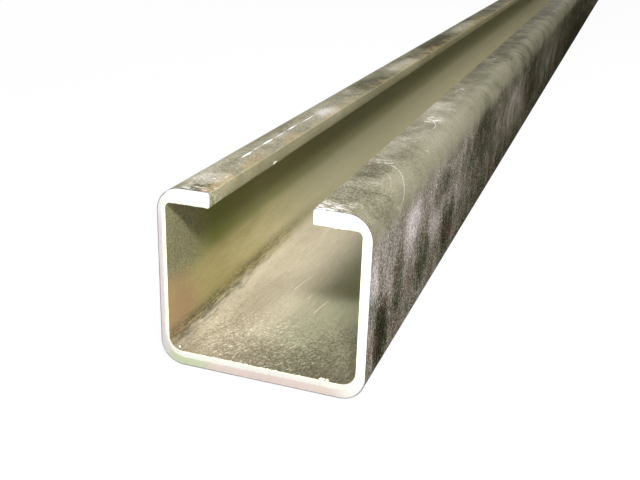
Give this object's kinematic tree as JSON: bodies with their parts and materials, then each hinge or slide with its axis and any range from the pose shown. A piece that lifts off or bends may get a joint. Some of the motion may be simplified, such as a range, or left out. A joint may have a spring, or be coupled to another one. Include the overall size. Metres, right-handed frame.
{
  "type": "strut channel",
  "caption": "Rolled C-section framing channel, open along its top between two plain inward lips, with a flat closed web.",
  "frame": {"origin": "middle of the channel's footprint, on the web's underside", "axes": "+Y along the channel, +Z from the web out through the slot, X across the two side walls"},
  "size_m": [0.0412, 1, 0.036],
  "materials": {
    "chromate_zinc": "zinc-plated steel with an olive-yellow chromate tint, scuffed on the outside and grainy inside"
  },
  "bodies": {
    "root": {"channel": "chromate_zinc"}
  },
  "joints": []
}
